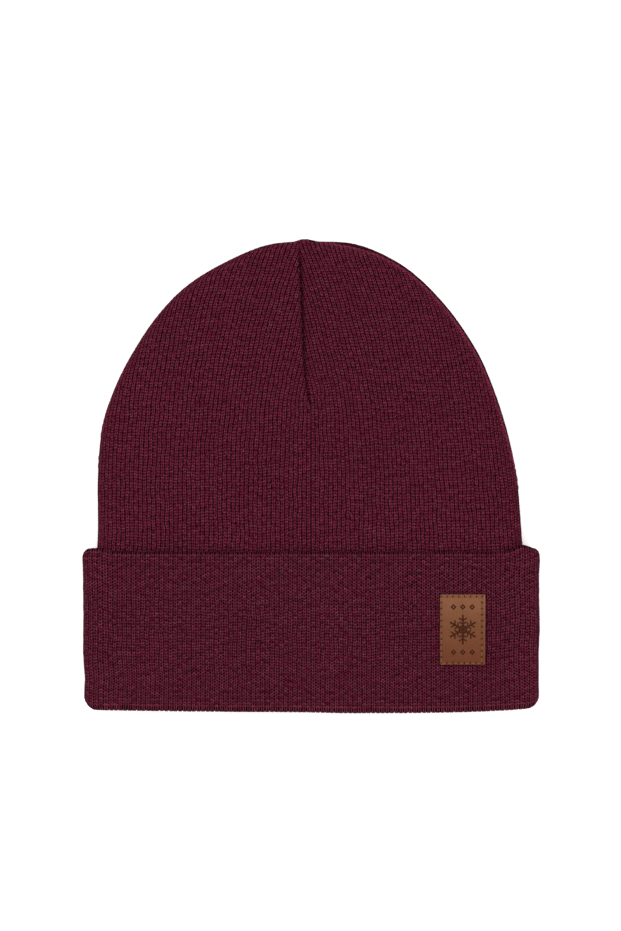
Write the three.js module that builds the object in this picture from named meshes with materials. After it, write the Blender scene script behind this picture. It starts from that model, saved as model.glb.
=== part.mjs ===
// A cuffed rib-knit beanie, lying on its back on a flat surface with its front face up.
// Millimetres. +X is the wearer's left, +Y runs from the turned-up cuff to the top of the crown,
// and +Z points up, out of the front face. The origin is under the middle of the hat.
//
// The hat is one knitted tube: it closes in darts at the top, comes down inside the cuff as the
// crown's wall, turns round the fold at the bottom and goes up again as the cuff. The solids part
// in that fold: the cuff holds the fold, and the crown's hem stands a hair above it.
import * as THREE from 'three';

const KNIT = 2.2; // thickness of the ribbed knit
const GAP = 0.3; // clearance between neighbouring pieces

const HEIGHT = 222.8; // bottom fold to the tip of the crown
const CROWN_TOP = 221.7; // top edge beside the tip
const TIP = { halfWidth: 2.9, depth: 2.4, dome: 0.35 }; // small knot where the darts meet

const CUFF = {
  halfWidth: 107.65,
  height: 76,
  bottomCorner: { rise: 6, width: 8.5 }, // rounding of the lower corners, seen from the front
  topCorner: { rise: 3.6, width: 7.2 }, // the same at the upper corners
  bow: 0.9, // how far the bottom edge rises towards its ends
  tuck: { share: 0.011, height: 28 }, // how much narrower it gets below that height
};

const DART = { tipHeight: 143, straightHeight: 172, drift: -4.5, depth: 1.5, halfWidth: 3.2 };

const LABEL = { width: 21.8, height: 33.1, taper: 0.9, thickness: 1.2, corner: 0.8 };
const LABEL_CENTRE = { x: 71.4, y: 39.2 };

// Half outlines of the crown seen from the front: distance from the middle, and height.
const OUTLINE_LEFT = [
  [103.4, 40], [100.4, 80], [100.3, 110], [98.2, 134], [92, 153], [83.7, 169.8],
  [72.3, 186.8], [58.2, 201], [39.3, 212.2], [19, 220.3], [0, CROWN_TOP],
];
const OUTLINE_RIGHT = [
  [103, 40], [99.4, 80], [96.8, 110.6], [91.3, 136], [82.3, 161.4], [72.8, 178.3],
  [59.8, 195.2], [43, 210.4], [21.8, 220.4], [0, CROWN_TOP],
];

// How thick the hat lies: the back's level, the side fold's middle, the front's level beside that
// fold, and how far the front swells above it along the middle.
const LOFT = [
  { height: 0, back: KNIT + GAP, fold: 9, front: 15.5, swell: 3.6 },
  { height: 76, back: KNIT + GAP, fold: 9, front: 15.5, swell: 3.6 },
  { height: 98, back: 0, fold: 6.6, front: 13.2, swell: 6 },
  { height: 140, back: 0, fold: 6.4, front: 12.8, swell: 8.6 },
  { height: 190, back: 0, fold: 6, front: 12, swell: 7 },
  { height: CROWN_TOP, back: 0, fold: 5.6, front: 11.2, swell: 5 },
];
const FOLD_WIDTH = 10; // how far in from its edge the hat rounds off
const CUFF_FACE = KNIT + GAP; // from the crown's outer face to the cuff's
const CUFF_BASE = CUFF.halfWidth - CUFF_FACE; // the crown's half width down at the fold
const HEM_LIFT = 2 * KNIT + GAP; // how far the crown's hem stands above the bottom edge

const CUFF_BANDS = [20, 45]; // heights that divide the cuff's flat faces
const EDGE_ROUND = 0.7; // how far the cuff's upper edge rounds off on each face
const TOP_RIDGE = 0.25; // the crown's last ring lies this far below its top edge

const QUARTER = 16; // facets in each quarter of a ring
const QUARTER_CROWDING = 0.6; // 0 for even facets, towards 1 for narrow ones at a quarter's ends
const HEM_ROWS = 5; // bands of the crown that the cuff covers
const CROWN_ROWS = 24; // bands above the cuff
const ROW_CROWDING = 1.6; // 1 for even bands, more for low ones towards the top
const FOLD_STEPS = 6; // facets round the bottom fold
const FINE_STEPS = 160; // points along a quarter ring before it is cut into facets
const OUTLINE_STEPS = 400; // points along a half outline

const smooth = (t) => {
  const s = THREE.MathUtils.clamp(t, 0, 1);
  return s * s * (3 - 2 * s);
};

// Value of a column of LOFT at a height, eased between its rows.
function loft(column, height) {
  const above = LOFT.findIndex((row) => row.height >= height);
  if (above <= 0) return above === 0 ? LOFT[0][column] : LOFT.at(-1)[column];
  const [low, high] = [LOFT[above - 1], LOFT[above]];
  const t = (height - low.height) / (high.height - low.height);
  return THREE.MathUtils.lerp(low[column], high[column], smooth(t));
}

// A half outline as closely spaced points, moved inwards by the inset.
function outlineSamples(points, inset) {
  const low = new THREE.Vector2(CUFF_BASE, 0);
  const curve = new THREE.SplineCurve([low, ...points.map(([w, h]) => new THREE.Vector2(w, h))]);
  return Array.from({ length: OUTLINE_STEPS + 1 }, (_, i) => {
    const tangent = curve.getTangent(i / OUTLINE_STEPS);
    const inwards = new THREE.Vector2(-tangent.y, tangent.x);
    return curve.getPoint(i / OUTLINE_STEPS).addScaledVector(inwards, inset);
  });
}

function halfWidth(samples, height) {
  const above = samples.findIndex((p) => p.y >= height);
  if (above < 0) return Math.max(samples.at(-1).x, 0);
  if (above === 0) return samples[0].x;
  const [low, high] = [samples[above - 1], samples[above]];
  return THREE.MathUtils.mapLinear(height, low.y, high.y, low.x, high.x);
}

// 0 at an edge, rising along a quarter ellipse to 1 where the fold ends.
function roundOff(distance, width) {
  const t = 1 - THREE.MathUtils.clamp(distance / width, 0, 1);
  return Math.sqrt(1 - t * t);
}

const dartCentre = (height) => {
  const t = (height - DART.tipHeight) / (DART.straightHeight - DART.tipHeight);
  return DART.drift * smooth(t);
};

function dartValley(x, height) {
  const rise = smooth((height - DART.tipHeight) / (DART.straightHeight - DART.tipHeight));
  const across = (x - dartCentre(height)) / DART.halfWidth;
  return DART.depth * rise * Math.exp(-across * across);
}

// Points on one quarter of a flattened ring, at steps that close up towards both of its ends.
// side is 1 on the right and -1 on the left, face is 1 on the front and -1 on the back.
function quarterRing(station, side, face) {
  const reach = side > 0 ? station.right : station.left;
  const line = Array.from({ length: FINE_STEPS + 1 }, (_, i) => {
    const across = Math.sin((Math.PI / 2) * (i / FINE_STEPS));
    const x = THREE.MathUtils.lerp(station.centre, side * reach, across);
    const round = roundOff(Math.abs(side * reach - x), station.foldWidth) * station.close;
    const swell = station.swell * (1 - across * across) * station.close;
    const level = face > 0 ? station.front - station.fold : station.back - station.fold;
    const z = station.fold + level * round + (face > 0 ? swell - station.valley(x) : 0);
    return new THREE.Vector2(x, z);
  });
  const lengths = [0];
  line.slice(1).forEach((p, i) => lengths.push(lengths[i] + p.distanceTo(line[i])));
  const points = [];
  for (let k = 0; k < QUARTER; k += 1) {
    const t = k / QUARTER;
    const crowding = (QUARTER_CROWDING * Math.sin(2 * Math.PI * t)) / (2 * Math.PI);
    const target = (t - crowding) * lengths.at(-1);
    const i = Math.max(lengths.findIndex((l) => l >= target), 1);
    const share = (target - lengths[i - 1]) / (lengths[i] - lengths[i - 1] || 1);
    points.push(line[i - 1].clone().lerp(line[i], share));
  }
  points.push(line.at(-1));
  return points;
}

// A whole ring: front middle, right fold, back middle, left fold.
function ring(station) {
  return [
    ...quarterRing(station, 1, 1).slice(0, -1),
    ...quarterRing(station, 1, -1).reverse().slice(0, -1),
    ...quarterRing(station, -1, -1).slice(0, -1),
    ...quarterRing(station, -1, 1).reverse().slice(0, -1),
  ];
}

// The crown's cross-section at a height, with its outer face moved inwards by the inset.
function crownStation(height, inset, outlines) {
  const topEdge = CROWN_TOP - inset;
  return {
    left: halfWidth(outlines.left, height),
    right: halfWidth(outlines.right, height),
    centre: dartCentre(height),
    back: loft('back', height) + inset,
    fold: loft('fold', height),
    front: loft('front', height) - inset,
    swell: loft('swell', height),
    foldWidth: FOLD_WIDTH - inset,
    close: roundOff(topEdge - height, FOLD_WIDTH - inset),
    valley: (x) => dartValley(x, height) * roundOff(topEdge - height, FOLD_WIDTH),
  };
}

// The ring that the cuff wraps: the crown's outer face down at the fold, the directions out of it,
// and how far out to each side the cuff's own outer face lies.
function cuffRing() {
  const points = ring({
    left: CUFF_BASE,
    right: CUFF_BASE,
    centre: 0,
    back: loft('back', 0),
    fold: loft('fold', 0),
    front: loft('front', 0),
    swell: loft('swell', 0),
    foldWidth: FOLD_WIDTH,
    close: 1,
    valley: () => 0,
  });
  const outwards = points.map((p, k) => {
    const before = points.at(k - 1);
    const after = points[(k + 1) % points.length];
    return new THREE.Vector2(before.y - after.y, after.x - before.x).normalize();
  });
  const edges = points.map((p, k) => p.x + outwards[k].x * CUFF_FACE);
  return { points, outwards, edges };
}
const CUFF_RING = cuffRing();

// 0 up to a corner's width from the cuff's side, rising to 1 at the side.
const cornerShare = (x, corner) =>
  (Math.max(Math.abs(x) - (CUFF.halfWidth - corner.width), 0) / corner.width) ** 2;

// How high the bottom edge and the top edge stand at a place across the hat.
const bottomEdge = (x) => (
  CUFF.bottomCorner.rise * cornerShare(x, CUFF.bottomCorner) + CUFF.bow * (x / CUFF.halfWidth) ** 2
);
const topEdge = (x) => CUFF.height - CUFF.topCorner.rise * cornerShare(x, CUFF.topCorner);

// The knit draws in a little towards the bottom fold.
function tucked(x, y, z) {
  const below = Math.max(1 - y / CUFF.tuck.height, 0);
  return new THREE.Vector3(x * (1 - CUFF.tuck.share * below ** 2), y, z);
}

// Closed body from a row of rings of equal length. Its two ends meet, or are closed over a point.
function bodyOfRings(rings, endPoints) {
  const count = rings[0].length;
  const positions = rings.flat().flatMap((p) => [p.x, p.y, p.z]);
  const index = [];
  const bands = endPoints ? rings.length - 1 : rings.length;
  for (let i = 0; i < bands; i += 1) {
    const [low, high] = [i * count, ((i + 1) % rings.length) * count];
    for (let k = 0; k < count; k += 1) {
      const next = (k + 1) % count;
      index.push(low + k, high + next, low + next, low + k, high + k, high + next);
    }
  }
  if (endPoints) {
    const first = rings.length * count;
    positions.push(...endPoints[0].toArray(), ...endPoints[1].toArray());
    for (let k = 0; k < count; k += 1) {
      const next = (k + 1) % count;
      const last = (rings.length - 1) * count;
      index.push(first, k, next, first + 1, last + next, last + k);
    }
  }
  const geometry = new THREE.BufferGeometry();
  geometry.setAttribute('position', new THREE.Float32BufferAttribute(positions, 3));
  geometry.setIndex(index);
  return geometry;
}

// Hollow knit shell, open at its hem, with the dart's valley down its front.
function crownGeometry() {
  const shell = (inset) => {
    const outlines = {
      left: outlineSamples(OUTLINE_LEFT, inset),
      right: outlineSamples(OUTLINE_RIGHT, inset),
    };
    const heights = [];
    for (let i = 1; i <= HEM_ROWS; i += 1) heights.push((CUFF.height * i) / HEM_ROWS);
    const top = CROWN_TOP - inset - TOP_RIDGE;
    for (let i = 1; i <= CROWN_ROWS; i += 1) {
      heights.push(top - (top - CUFF.height) * (1 - i / CROWN_ROWS) ** ROW_CROWDING);
    }
    const rows = heights.map((height) =>
      ring(crownStation(height, inset, outlines)).map((p) => tucked(p.x, height, p.y)),
    );
    const hem = ring(crownStation(0, inset, outlines)).map(
      (p, k) => tucked(p.x, bottomEdge(CUFF_RING.edges[k]) + HEM_LIFT, p.y),
    );
    return [hem, ...rows];
  };
  const outer = shell(0);
  const inner = shell(KNIT);
  const tip = new THREE.Vector3(DART.drift, HEIGHT, loft('fold', CROWN_TOP));
  const neck = outer.at(-1).map((_, k, { length }) => {
    const angle = Math.PI / 2 - (2 * Math.PI * k) / length;
    const x = tip.x + TIP.halfWidth * Math.cos(angle);
    return new THREE.Vector3(x, HEIGHT - TIP.dome, tip.z + TIP.depth * Math.sin(angle));
  });
  const innerTop = new THREE.Vector3(tip.x, CROWN_TOP - KNIT, tip.z);
  return bodyOfRings([neck, ...outer.reverse(), ...inner], [tip, innerTop]);
}

// Turned-up band. Its section goes down outside, round the bottom fold and up to the crown's hem.
function cuffGeometry() {
  const foldRadius = KNIT + GAP / 2;
  // out is measured from the crown's outer face; rise from the bottom edge, or drop from the top
  const outerBands = CUFF_BANDS.map((rise) => ({ out: CUFF_FACE, rise })).reverse();
  const innerBands = CUFF_BANDS.map((rise) => ({ out: GAP, rise }));
  const profile = [{ out: CUFF_FACE, drop: EDGE_ROUND }, ...outerBands];
  for (let i = 0; i <= FOLD_STEPS; i += 1) {
    const angle = (Math.PI * i) / FOLD_STEPS;
    profile.push({
      out: GAP / 2 + foldRadius * Math.cos(angle),
      rise: foldRadius * (1 - Math.sin(angle)),
    });
  }
  profile.push(
    { out: -KNIT, rise: HEM_LIFT - GAP },
    { out: 0, rise: HEM_LIFT - GAP },
    { out: 0, rise: foldRadius },
    { out: GAP, rise: foldRadius },
    ...innerBands,
    { out: GAP, drop: EDGE_ROUND },
    { out: (GAP + CUFF_FACE) / 2, drop: 0 },
  );
  const rings = profile.map(({ out, rise, drop }) => CUFF_RING.points.map((p, k) => {
    const { x, y: z } = p.clone().addScaledVector(CUFF_RING.outwards[k], out);
    const edge = CUFF_RING.edges[k];
    const y = rise === undefined ? topEdge(edge) - drop : bottomEdge(edge) + rise;
    return tucked(x, y, z);
  }));
  return bodyOfRings(rings);
}

// Leather patch, a little narrower at its foot.
function labelGeometry() {
  const [w, h] = [LABEL.width / 2, LABEL.height / 2];
  const corners = [
    new THREE.Vector2(-w, -h), new THREE.Vector2(w - LABEL.taper, -h),
    new THREE.Vector2(w, h), new THREE.Vector2(-w, h),
  ];
  const shape = new THREE.Shape();
  corners.forEach((corner, k) => {
    const towards = (other) => other.clone().sub(corner).setLength(LABEL.corner).add(corner);
    const start = towards(corners.at(k - 1));
    const end = towards(corners[(k + 1) % corners.length]);
    if (k === 0) shape.moveTo(start.x, start.y);
    else shape.lineTo(start.x, start.y);
    shape.quadraticCurveTo(corner.x, corner.y, end.x, end.y);
  });
  shape.closePath();
  return new THREE.ExtrudeGeometry(shape, {
    depth: LABEL.thickness,
    bevelEnabled: false,
    curveSegments: 4,
  });
}

const knit = (color) => new THREE.MeshStandardMaterial({ color, roughness: 0.95, metalness: 0 });

const crown = new THREE.Mesh(crownGeometry(), knit(0x4c1827));
crown.name = 'crown';

const cuff = new THREE.Mesh(cuffGeometry(), knit(0x491927));
cuff.name = 'cuff';

const leather = new THREE.MeshStandardMaterial({ color: 0x734731, roughness: 0.6, metalness: 0 });
const label = new THREE.Mesh(labelGeometry(), leather);
label.name = 'label_patch';
const across = LABEL_CENTRE.x / CUFF_BASE;
const seat = loft('front', 0) + loft('swell', 0) * (1 - across ** 2) + CUFF_FACE;
label.rotation.y = Math.atan((2 * loft('swell', 0) * across) / CUFF_BASE);
label.position.set(LABEL_CENTRE.x, LABEL_CENTRE.y, seat + GAP);

const group = new THREE.Group();
group.add(crown, cuff, label);
group.position.y = -HEIGHT / 2;

export default group;
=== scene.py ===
"""Looks of a cuffed rib-knit beanie, laid flat on its back with its front face up.

The knit that shows is modelled stitch by stitch: every wale (a column of V stitches) is six columns
of the mesh, every course (a row of stitches) is two rows of it, and both follow the fabric up to where
a dart cuts it off. Behind the cuff and inside the hat the mesh is coarser. Shapes are worked out in
millimetres, with y measured up from the bottom fold and z up off the floor, and turned into metres in
the row frame when a mesh is made. A side is -1 for the left and 1 for the right, and a face is 1 for
the front and -1 for the back. A distance round the hat runs along the knit's outer face at one height.
"""
import math

import bpy
import numpy as np
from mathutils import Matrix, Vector


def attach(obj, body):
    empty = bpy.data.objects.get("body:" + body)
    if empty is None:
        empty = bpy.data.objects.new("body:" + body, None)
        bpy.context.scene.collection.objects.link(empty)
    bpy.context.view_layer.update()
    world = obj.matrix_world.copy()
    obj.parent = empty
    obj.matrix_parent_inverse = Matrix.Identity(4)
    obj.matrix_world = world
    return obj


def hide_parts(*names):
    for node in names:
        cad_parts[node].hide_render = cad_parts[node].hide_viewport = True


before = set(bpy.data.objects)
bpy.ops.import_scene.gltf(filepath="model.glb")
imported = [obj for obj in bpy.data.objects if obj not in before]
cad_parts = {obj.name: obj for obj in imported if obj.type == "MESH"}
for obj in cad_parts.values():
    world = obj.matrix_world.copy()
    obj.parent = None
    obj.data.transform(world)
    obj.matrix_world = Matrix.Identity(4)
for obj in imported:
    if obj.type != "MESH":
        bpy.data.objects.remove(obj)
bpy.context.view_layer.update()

MM = 0.001

# ---- driving sizes: those of the solids, or a closer measure of the same thing ------------------

KNIT = 2.2  # thickness of the ribbed knit
GAP = 0.3  # clearance between neighbouring pieces
HEIGHT = 222.8  # bottom fold to the tip of the crown
CROWN_TOP = 221.7  # top edge beside the tip
CUFF_HALF_WIDTH = 107.3
CUFF_HEIGHT = 76.0
# How far the knit's sides draw in at heights behind and on the cuff.
SIDE_DRAW = {
    -1: {"height": [0, 9, 16, 28, 46, 66, 72, 78], "draw": [0.6, 0.6, 0.95, 0.1, 0.2, 0.0, -0.25, 0.0]},
    1: {"height": [0, 16, 28, 40, 54, 66, 72, 78], "draw": [0.0, 0.2, 0.2, -0.3, 0.0, 0.0, -0.35, 0.0]},
}
FOLD_WIDTH = 10.0  # how far in from its edge the hat rounds off
CUFF_FACE = KNIT + GAP  # from the crown's outer face to the cuff's
CUFF_BASE = CUFF_HALF_WIDTH - CUFF_FACE  # the crown's half width down at the fold
FLOOR_CLEARANCE = 0.02  # the lowest that the knit lies above the floor

# Half outlines of the crown, as distance from the middle and height.
OUTLINE = {
    -1: [(CUFF_BASE, 0), (103.4, 40), (100.4, 80), (100.3, 110), (98.2, 134), (92, 153), (83.5, 169.7),
         (72.1, 186.6), (58.1, 200.8), (39.3, 212.2), (19, 220.3), (0, CROWN_TOP)],
    1: [(CUFF_BASE, 0), (103, 40), (99.4, 80), (96.8, 110.6), (91.3, 136), (82.3, 161.4), (73, 178.4),
        (60.1, 195.2), (43.2, 210.35), (21.8, 220.2), (0, CROWN_TOP)],
}
# Levels of the knit's outer face above the floor at heights up the hat, and how much the front
# swells in its middle.
LOFT = {
    "height": [0, 76, 98, 140, 190, CROWN_TOP],
    "back": [CUFF_FACE, CUFF_FACE, 0, 0, 0, 0],
    "fold": [9, 9, 6.6, 6.4, 6, 5.6],
    "front": [15.5, 15.5, 13.2, 12.8, 12, 11.2],
    "swell": [3.6, 3.6, 6, 8.6, 7, 5],
}
# The front dart: where it starts, where its line is straight, how far its line then lies to the left.
DART = {"tip": 143.6, "straight": 174.0, "bend": -3.6, "top": -5.8, "depth": 1.5, "half_width": 3.2}
# The fold of knit that stands up where the four darts meet: its ends, how fast it rises from them,
# how far down it reaches, and how far it goes beyond the top edge and up.
NUB = {"left": -9.0, "right": -0.1, "left_ramp": 5.5, "right_ramp": 1.3, "reach": 6.0,
       "rise": HEIGHT - CROWN_TOP, "lift": 0.8}

# ---- how the knit lies --------------------------------------------------------------------------

WALES = 50  # ribs in each quarter of the hat
COURSE = 1.37  # height of one row of stitches
ROWS_A_COURSE = 2
LEG_RISE = 1.0  # how far a stitch's legs rise from the middle of its wale to its sides, in courses
SEAM_START = {-1: 118.0, 1: 108.0}  # height where the side darts begin
DRAW_IN = {-1: 0.0004, 1: 0.0009}  # how fast the wales close up above that, per millimetre
LEAN = {"from": 115.0, "rate": 0.0021, "edge": 0.38}  # how the wales bend towards the front dart
# Near the middle that bend is held back below the dart's tip: how far up and how far round.
LEAN_BLEND = {"tip": 143.0, "over": 25.0, "reach": 6.0}
SEAM_INSET = {-1: -0.4, 1: 1.9}  # how far in from the side folds, over the front, the seams lie
SEAM_SETTLE = 30.0  # the height over which the side seams part from the side folds
SEAM_LIMITS = (-0.2, 0.3)  # the most that they part from them, as shares of the front's width
# Unevenness of the knit in stitches, and how much its quick part counts beside the slow one.
WANDER = {"course": 0.4, "wale": 0.15, "phase": 0.28, "quick": 0.5}
# Random numbers for that and for the relief: a seed, and the size of a cell in wales and in courses.
KNIT_NOISE = {
    "course_slow": (3, 11, 17),
    "course_quick": (4, 2.5, 6),
    "wale_slow": (6, 3, 5),
    "wale_quick": (7, 1, 2),
    "patch": (9, 7, 9),
    "surface": (10, 1.3, 1.7),
}
STITCH_NOISE = {"seed": 8, "rate": 1.9}  # the same for single stitches, in cells a wale and a course
PHASE_SEED = 5  # every wale stands a little higher or lower than the next
# How much these make creases deeper or shallower, and how far they move the whole surface.
UNEVEN = {"stitch": 0.4, "patch": 0.08, "surface": 0.07}
# How far the random numbers are shifted between the quarters of the hat, or from crown to cuff.
SHIFT = {"crown_wales": 40, "cuff_wales": 50, "crown_depth": 60, "cuff_courses": 70, "cuff_depth": 80}

# Columns of the mesh across one wale: place, depth at a stitch's crest, and depth between stitches.
RIB = {
    "place": np.array([0.0, 0.14, 0.31, 0.5, 0.69, 0.86]),
    "crest": np.array([0.15, 0.04, 0.0, 0.04, 0.0, 0.04]),
    "crease": np.array([1.3, 0.35, 0.05, 0.5, 0.05, 0.35]),
}
WALE_COLUMNS = len(RIB["place"])
LAYER_COURSES = 100  # added to the courses in the Knit uv layer
BORDER_DEPTH = 0.85  # depth of the knit along the lines where two quarters meet
FAR = 99.0  # a distance beyond the reach of any relief


def smooth(t):
    """A soft step from 0 to 1 while t goes from 0 to 1."""
    s = np.clip(t, 0, 1)
    return s * s * (3 - 2 * s)


def bell(distance, width):
    """1 at no distance, which falls off to 0 beyond the width."""
    return np.exp(-((distance / width) ** 2))


def unit(vectors):
    """Vectors of length 1 with the same directions."""
    return vectors / np.maximum(np.linalg.norm(vectors, axis=-1, keepdims=True), 1e-9)


def across_columns(values, columns):
    """One value a row, the same in every column."""
    return np.tile(values[:, None], (1, columns))


def loft(column, y):
    """A column of LOFT at a height, in soft steps from one entry to the next."""
    heights = np.array(LOFT["height"], float)
    values = np.array(LOFT[column], float)
    i = np.clip(np.searchsorted(heights, y, side="left"), 1, len(heights) - 1)
    t = (y - heights[i - 1]) / (heights[i] - heights[i - 1])
    return values[i - 1] + (values[i] - values[i - 1]) * smooth(t)


def spline(points, steps=400):
    """Points evenly spread over the spans of a Catmull-Rom curve, with its directions."""
    p = np.array(points, float)
    t = np.linspace(0, len(p) - 1, steps + 1)
    i = np.minimum(t.astype(int), len(p) - 2)
    w = (t - i)[:, None]
    before, start, end = p[np.maximum(i - 1, 0)], p[i], p[i + 1]
    after = p[np.minimum(i + 2, len(p) - 1)]
    before = np.where((i == 0)[:, None], start, before)
    after = np.where((i == len(p) - 2)[:, None], end, after)
    v0, v1 = (end - before) / 2, (after - start) / 2
    a, b = 2 * start - 2 * end + v0 + v1, -3 * start + 3 * end - 2 * v0 - v1
    place = a * w**3 + b * w**2 + v0 * w + start
    along = 3 * a * w**2 + 2 * b * w + v0
    return place, unit(along)


def half_width(side, y, inset):
    """Distance from the middle to the crown's outline, drawn in by an inset, at a height."""
    place, along = spline(OUTLINE[side])
    moved = place + np.stack([-along[:, 1], along[:, 0]], 1) * inset
    return np.maximum(np.interp(y, moved[:, 1], moved[:, 0]), 0.01)


def round_off(distance, width):
    """How full a rounded edge is, from 0 at the edge to 1 at the width in from it."""
    t = 1 - np.clip(distance / width, 0, 1)
    return np.sqrt(1 - t * t)


def dart_share(y):
    """How much of the front dart's depth is there at a height."""
    return smooth((y - DART["tip"]) / (DART["straight"] - DART["tip"]))


def dart_centre(y):
    """How far right of the middle the front dart's line lies at a height."""
    below = np.clip((DART["straight"] - y) / (DART["straight"] - DART["tip"]), 0, 1)
    above = np.clip((y - DART["straight"]) / (CROWN_TOP - DART["straight"]), 0, 1)
    return DART["bend"] * (1 - below**2) + (DART["top"] - DART["bend"]) * above


def noise(seed, u, v):
    """Smooth random values from -1 to 1, one cell of the noise to each unit of u and v."""
    table = np.random.default_rng(seed).uniform(-1, 1, (97, 89))
    u0, v0 = np.floor(u).astype(int), np.floor(v).astype(int)
    s, t = smooth(u - u0), smooth(v - v0)

    def read(i, j):
        return table[(u0 + i) % table.shape[0], (v0 + j) % table.shape[1]]

    low = read(0, 0) * (1 - s) + read(1, 0) * s
    high = read(0, 1) * (1 - s) + read(1, 1) * s
    return low * (1 - t) + high * t


class HalfRings:
    """One side of the hat as flattened half rings, one for each height, read by height and by
    distance round from the front's middle."""

    FINE = 260  # points along the front or the back of a ring
    EVEN = 2400  # even steps round a half ring, to read it by distance
    PROBE = 0.6  # how far apart the points lie that a normal is worked out from
    LEAST_WIDTH = 0.02  # how wide half a ring is at least

    def __init__(self, side, heights, inset=0.0, cuff=False):
        y = heights[:, None]
        across = np.sin(np.pi / 2 * np.linspace(0, 1, self.FINE + 1))
        if cuff:
            reach, centre, close, valley = CUFF_BASE, 0.0, 1.0, 0.0
            y = np.zeros_like(y)
        else:
            centre = dart_centre(y)
            reach = np.maximum(half_width(side, heights, inset)[:, None], side * centre + self.LEAST_WIDTH)
            close = round_off(CROWN_TOP - inset - y, FOLD_WIDTH - inset)
            valley = DART["depth"] * dart_share(y) * round_off(CROWN_TOP - inset - y, FOLD_WIDTH)
        x = centre + (side * reach - centre) * across
        rounding = round_off(np.abs(side * reach - x), FOLD_WIDTH - inset) * close
        fold = loft("fold", y)
        front = fold + (loft("front", y) - inset - fold) * rounding
        front = front + loft("swell", y) * (1 - across**2) * close
        front = front - valley * bell(x - centre, DART["half_width"])
        back = fold + (loft("back", y) + inset - fold) * rounding
        shape = (len(heights), self.FINE + 1)
        x, front, back = (np.broadcast_to(value, shape) for value in (x, front, back))
        x_all = np.concatenate([x, x[:, -2::-1]], 1)
        z_all = np.concatenate([front, back[:, -2::-1]], 1)
        steps = np.hypot(np.diff(x_all, axis=1), np.diff(z_all, axis=1))
        lengths = np.concatenate([np.zeros((len(heights), 1)), np.cumsum(steps, 1)], 1)
        shares = np.linspace(0, 1, self.EVEN + 1)
        self.heights = heights
        self.front_length = lengths[:, self.FINE]
        self.length = lengths[:, -1]
        self.x = np.stack([np.interp(shares * l[-1], l, row) for l, row in zip(lengths, x_all)])
        self.z = np.stack([np.interp(shares * l[-1], l, row) for l, row in zip(lengths, z_all)])

    def front_at(self, y):
        return np.interp(y, self.heights, self.front_length)

    def whole_at(self, y):
        return np.interp(y, self.heights, self.length)

    def at(self, y, around):
        """Points at heights y and distances round from the front's middle."""
        row = np.interp(y, self.heights, np.arange(len(self.heights)))
        r0 = np.clip(row.astype(int), 0, len(self.heights) - 2)
        wr = row - r0
        length = self.length[r0] * (1 - wr) + self.length[r0 + 1] * wr
        col = np.clip(around / length, 0, 1) * self.EVEN
        c0 = np.clip(col.astype(int), 0, self.EVEN - 1)
        wc = col - c0

        def read(table):
            low = table[r0, c0] * (1 - wc) + table[r0, c0 + 1] * wc
            high = table[r0 + 1, c0] * (1 - wc) + table[r0 + 1, c0 + 1] * wc
            return low * (1 - wr) + high * wr

        return np.stack([read(self.x), y, read(self.z)], -1)

    def moved(self, y, around, to):
        """The point that lies at height y and a distance round, taken straight up or down to another
        height: it keeps its share of the front's or the back's width."""
        front, whole = self.front_at(y), self.whole_at(y)
        front_to, whole_to = self.front_at(to), self.whole_at(to)
        on_front = around / front * front_to
        on_back = whole_to - (whole - around) / (whole - front) * (whole_to - front_to)
        return self.at(to, np.where(around <= front, on_front, on_back))

    def normals(self, side, y, around):
        """Unit directions out of the knit. On the middle lines they don't lean to either side."""
        whole = self.whole_at(y)
        low = np.clip(around - self.PROBE, 0, whole)
        high = np.clip(around + self.PROBE, 0, whole)
        across = self.at(y, high) - self.at(y, low)
        above = np.minimum(y + self.PROBE, self.heights[-1])
        below = np.maximum(y - self.PROBE, self.heights[0])
        up = self.moved(y, around, above) - self.moved(y, around, below)
        out = np.cross(across, up) * side
        middle = (around <= self.PROBE / 10) | (around >= whole - self.PROBE / 10)
        out[..., 0] = np.where(middle, 0, out[..., 0])
        return unit(out)


CROWN_RING_COUNT = 420
RING_CROWDING = 2.2  # 1 for even rings, more for low steps towards the top
RING_STOP = 0.02  # how far below the top the last ring lies


def crown_heights(inset=0.0):
    """Heights of the crown's rings, from the bottom fold to just below the top."""
    top = CROWN_TOP - inset - RING_STOP
    t = np.linspace(0, 1, CROWN_RING_COUNT)
    return top - top * (1 - t) ** RING_CROWDING


def tucked(points):
    """The knit's sides draw in and out a little over the cuff's height."""
    x, y = points[..., 0], points[..., 1]
    left, right = (np.interp(y, SIDE_DRAW[side]["height"], SIDE_DRAW[side]["draw"]) for side in (-1, 1))
    out = points.copy()
    out[..., 0] -= np.where(x < 0, left, right) * x / CUFF_HALF_WIDTH
    return out


# ---- meshes -------------------------------------------------------------------------------------


def grid_faces(rows, columns, wrap=False):
    """Quads of a grid whose vertices are stored row by row."""
    r, c = np.meshgrid(np.arange(rows - 1), np.arange(columns if wrap else columns - 1), indexing="ij")
    nxt = (c + 1) % columns
    quads = np.stack([r * columns + c, r * columns + nxt, (r + 1) * columns + nxt, (r + 1) * columns + c], -1)
    return quads.reshape(-1, 4)


def trimmed_faces(rows, columns, last):
    """Polygons of a grid whose columns end at row last[column]: there quads turn into triangles."""
    quads = grid_faces(rows, columns)
    row, column = np.divmod(quads, columns)
    quads = np.minimum(row, last[column]) * columns + column
    faces = []
    for quad in quads[(row.min(1) < last[column].max(1))].tolist():
        ring = [v for k, v in enumerate(quad) if v != quad[k - 1]]
        if len(ring) > 2:
            faces.append(ring)
    return faces


def grid_normals(points, wrap=False):
    """Unit normals of a grid of points, out of its face when rows rise and columns go right."""
    if wrap:
        across = np.roll(points, -1, 1) - np.roll(points, 1, 1)
    else:
        across = np.gradient(points, axis=1)
    return unit(np.cross(across, np.gradient(points, axis=0)))


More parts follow.
